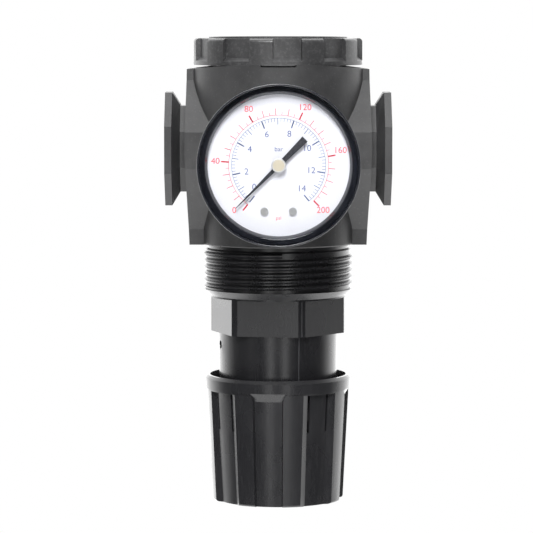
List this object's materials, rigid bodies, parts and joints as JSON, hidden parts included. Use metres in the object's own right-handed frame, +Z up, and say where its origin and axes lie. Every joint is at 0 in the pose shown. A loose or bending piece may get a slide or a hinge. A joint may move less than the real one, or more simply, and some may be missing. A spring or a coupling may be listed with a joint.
{
  "type": "air pressure regulator",
  "caption": "Line-mounted air pressure regulator: ported block with a castellated valve cap, front dial gauge, threaded bonnet and a push-to-lock adjusting knob.",
  "frame": {"origin": "where the axis through both ports crosses the axis of the bonnet, knob and valve", "axes": "+Z up, away from the knob; +X out of the outlet port; the gauge faces -Y"},
  "size_m": [0.08, 0.0995, 0.1656],
  "materials": {
    "body_paint": "black satin paint on cast metal",
    "moulded_black": "black glass-filled moulding, fine texture",
    "gauge_black": "glossy black",
    "window": "clear moulded window",
    "dial_white": "white printed dial",
    "pointer_black": "black satin",
    "hub_metal": "turned, slightly warm",
    "brass": "turned brass",
    "steel": "zinc plated",
    "spring_steel": "drawn wire",
    "aluminium": "stamped",
    "rubber": "moulded nitrile"
  },
  "bodies": {
    "root": {"body": "body_paint", "valve_cap": "moulded_black", "cap_oring": "rubber", "valve_spring": "spring_steel", "diaphragm": "rubber", "slip_ring": "steel", "bonnet": "moulded_black", "regulating_spring": "spring_steel", "thrust_washer": "steel", "gauge_case": "gauge_black", "window_ring": "gauge_black", "lens": "window", "dial": "dial_white", "dial_screws": "steel", "stop_pin": "steel", "gauge_socket": "brass", "bourdon_tube": "brass", "movement_frame": "brass", "hairspring": "spring_steel", "rear_port_plug": "steel"},
    "screw": {"adjusting_screw": "steel", "circlip": "spring_steel"},
    "knob": {"knob": "moulded_black"},
    "nut": {"spring_nut": "brass"},
    "valve": {"valve_poppet": "brass", "valve_pad": "rubber"},
    "diaphragm_centre": {"diaphragm_plate": "aluminium", "relief_seat": "brass"},
    "sector": {"sector_gear": "brass"},
    "link": {"link": "brass"},
    "pointer": {"pinion_shaft": "brass", "pointer": "pointer_black", "pointer_hub": "hub_metal"}
  },
  "joints": [
    {"name": "knob_turn", "type": "hinge", "parent": "root", "child": "screw", "pos_m": [0, 0, -0.1], "axis": [0, 0, 1], "range_deg": [0, 1890]},
    {"name": "knob_lock", "type": "slide", "parent": "screw", "child": "knob", "axis": [0, 0, 1], "range_m": [0, 0.0035]},
    {"name": "nut_travel", "type": "slide", "parent": "root", "child": "nut", "axis": [0, 0, 1], "range_m": [0, 0.0079], "deforming": ["regulating_spring"]},
    {"name": "valve_lift", "type": "slide", "parent": "root", "child": "valve", "axis": [0, 0, 1], "range_m": [0, 0.0015], "deforming": ["valve_spring"]},
    {"name": "diaphragm_travel", "type": "slide", "parent": "root", "child": "diaphragm_centre", "axis": [0, 0, 1], "range_m": [0, 0.0015], "deforming": ["diaphragm"]},
    {"name": "sector_swing", "type": "hinge", "parent": "root", "child": "sector", "pos_m": [0, -0.052, -0.0182], "axis": [0, -1, 0], "range_deg": [0, 30]},
    {"name": "link_pivot", "type": "hinge", "parent": "sector", "child": "link", "pos_m": [0.00195, -0.053, -0.02387], "axis": [0, -1, 0], "range_deg": [-30, 0]},
    {"name": "pointer_turn", "type": "hinge", "parent": "root", "child": "pointer", "pos_m": [0, -0.055, -0.0032], "axis": [0, 1, 0], "range_deg": [0, 270]}
  ],
  "couplings": [
    {"joint": "nut_travel", "follows": "knob_turn", "m_per_rad": 0.00023873},
    {"joint": "diaphragm_travel", "follows": "valve_lift", "ratio": 1},
    {"joint": "link_pivot", "follows": "sector_swing", "ratio": -1},
    {"joint": "pointer_turn", "follows": "sector_swing", "ratio": 9}
  ]
}
